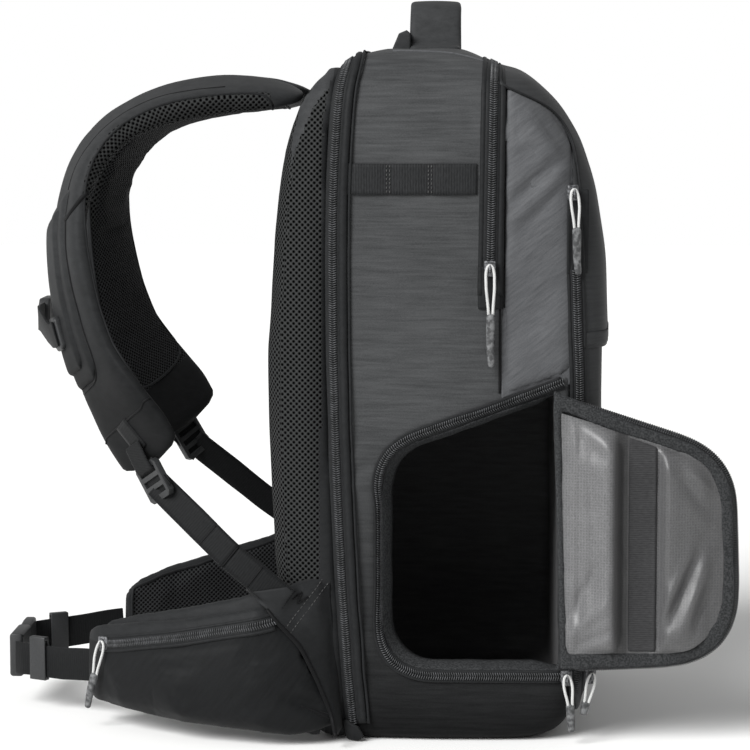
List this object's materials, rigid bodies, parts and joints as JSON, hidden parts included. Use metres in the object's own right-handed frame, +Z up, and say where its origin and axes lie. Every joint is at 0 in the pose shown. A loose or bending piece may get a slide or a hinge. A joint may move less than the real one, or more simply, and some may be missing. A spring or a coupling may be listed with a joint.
{
  "type": "mountaineering backpack",
  "caption": "Padded side-access mountain backpack with an open zipped side door, shoulder straps, a buckled hip belt with pockets, a sternum strap and a grab handle",
  "frame": {"origin": "middle of the flat base, on the surface it stands on", "axes": "+X away from the wearer's back, +Y to the wearer's right, +Z up"},
  "size_m": [0.5606, 0.358, 0.5519],
  "materials": {
    "shell": "charcoal woven nylon",
    "air_mesh": "black spacer mesh over foam",
    "webbing": "ribbed dark webbing",
    "zip": "zip tape with a coil",
    "plastic": "dark moulded acetal",
    "zip_slider": "dark painted metal",
    "lining": "shiny grey ripstop",
    "cord": "light braided cord with a dark grip"
  },
  "bodies": {
    "root": {"main_shell": "shell", "front_compartment": "shell", "front_pocket": "shell", "front_flap": "shell", "door_panel": "shell", "door_rim": "shell", "door_hinge": "shell", "strap_pocket_left": "shell", "strap_pocket_right": "shell", "hip_pocket_left": "shell", "hip_pocket_right": "shell", "back_panel": "air_mesh", "shoulder_strap_left": "air_mesh", "shoulder_strap_right": "air_mesh", "hip_wing_left": "air_mesh", "hip_wing_right": "air_mesh", "side_webbing_left": "webbing", "side_webbing_right": "webbing", "zip_end_left": "webbing", "zip_end_right": "webbing", "top_tab": "webbing", "door_tape": "webbing", "lock_tab_left": "webbing", "lock_tab_right": "webbing", "lower_webbing_left": "webbing", "lower_webbing_right": "webbing", "belt_webbing_left": "webbing", "belt_webbing_right": "webbing", "sternum_webbing_left": "webbing", "sternum_webbing_right": "webbing", "top_handle": "webbing", "back_zip": "zip", "front_zip": "zip", "pocket_zip": "zip", "opening_zip": "zip", "door_zip": "zip", "hip_zip_left": "zip", "hip_zip_right": "zip", "ladder_lock_left": "plastic", "ladder_lock_right": "plastic", "belt_adjuster_left": "plastic", "belt_adjuster_right": "plastic", "belt_buckle_left": "plastic", "belt_buckle_right": "plastic", "sternum_slide_left": "plastic", "sternum_slide_right": "plastic", "sternum_buckle": "plastic", "front_zip_slider": "zip_slider", "pocket_zip_slider": "zip_slider", "lower_zip_slider": "zip_slider", "door_zip_slider": "zip_slider", "hip_zip_slider_left": "zip_slider", "hip_zip_slider_right": "zip_slider", "door_lining": "lining", "front_zip_pull": "cord", "pocket_zip_pull": "cord", "lower_zip_pull": "cord", "door_zip_pull": "cord", "hip_zip_pull_left": "cord", "hip_zip_pull_right": "cord"}
  },
  "joints": []
}
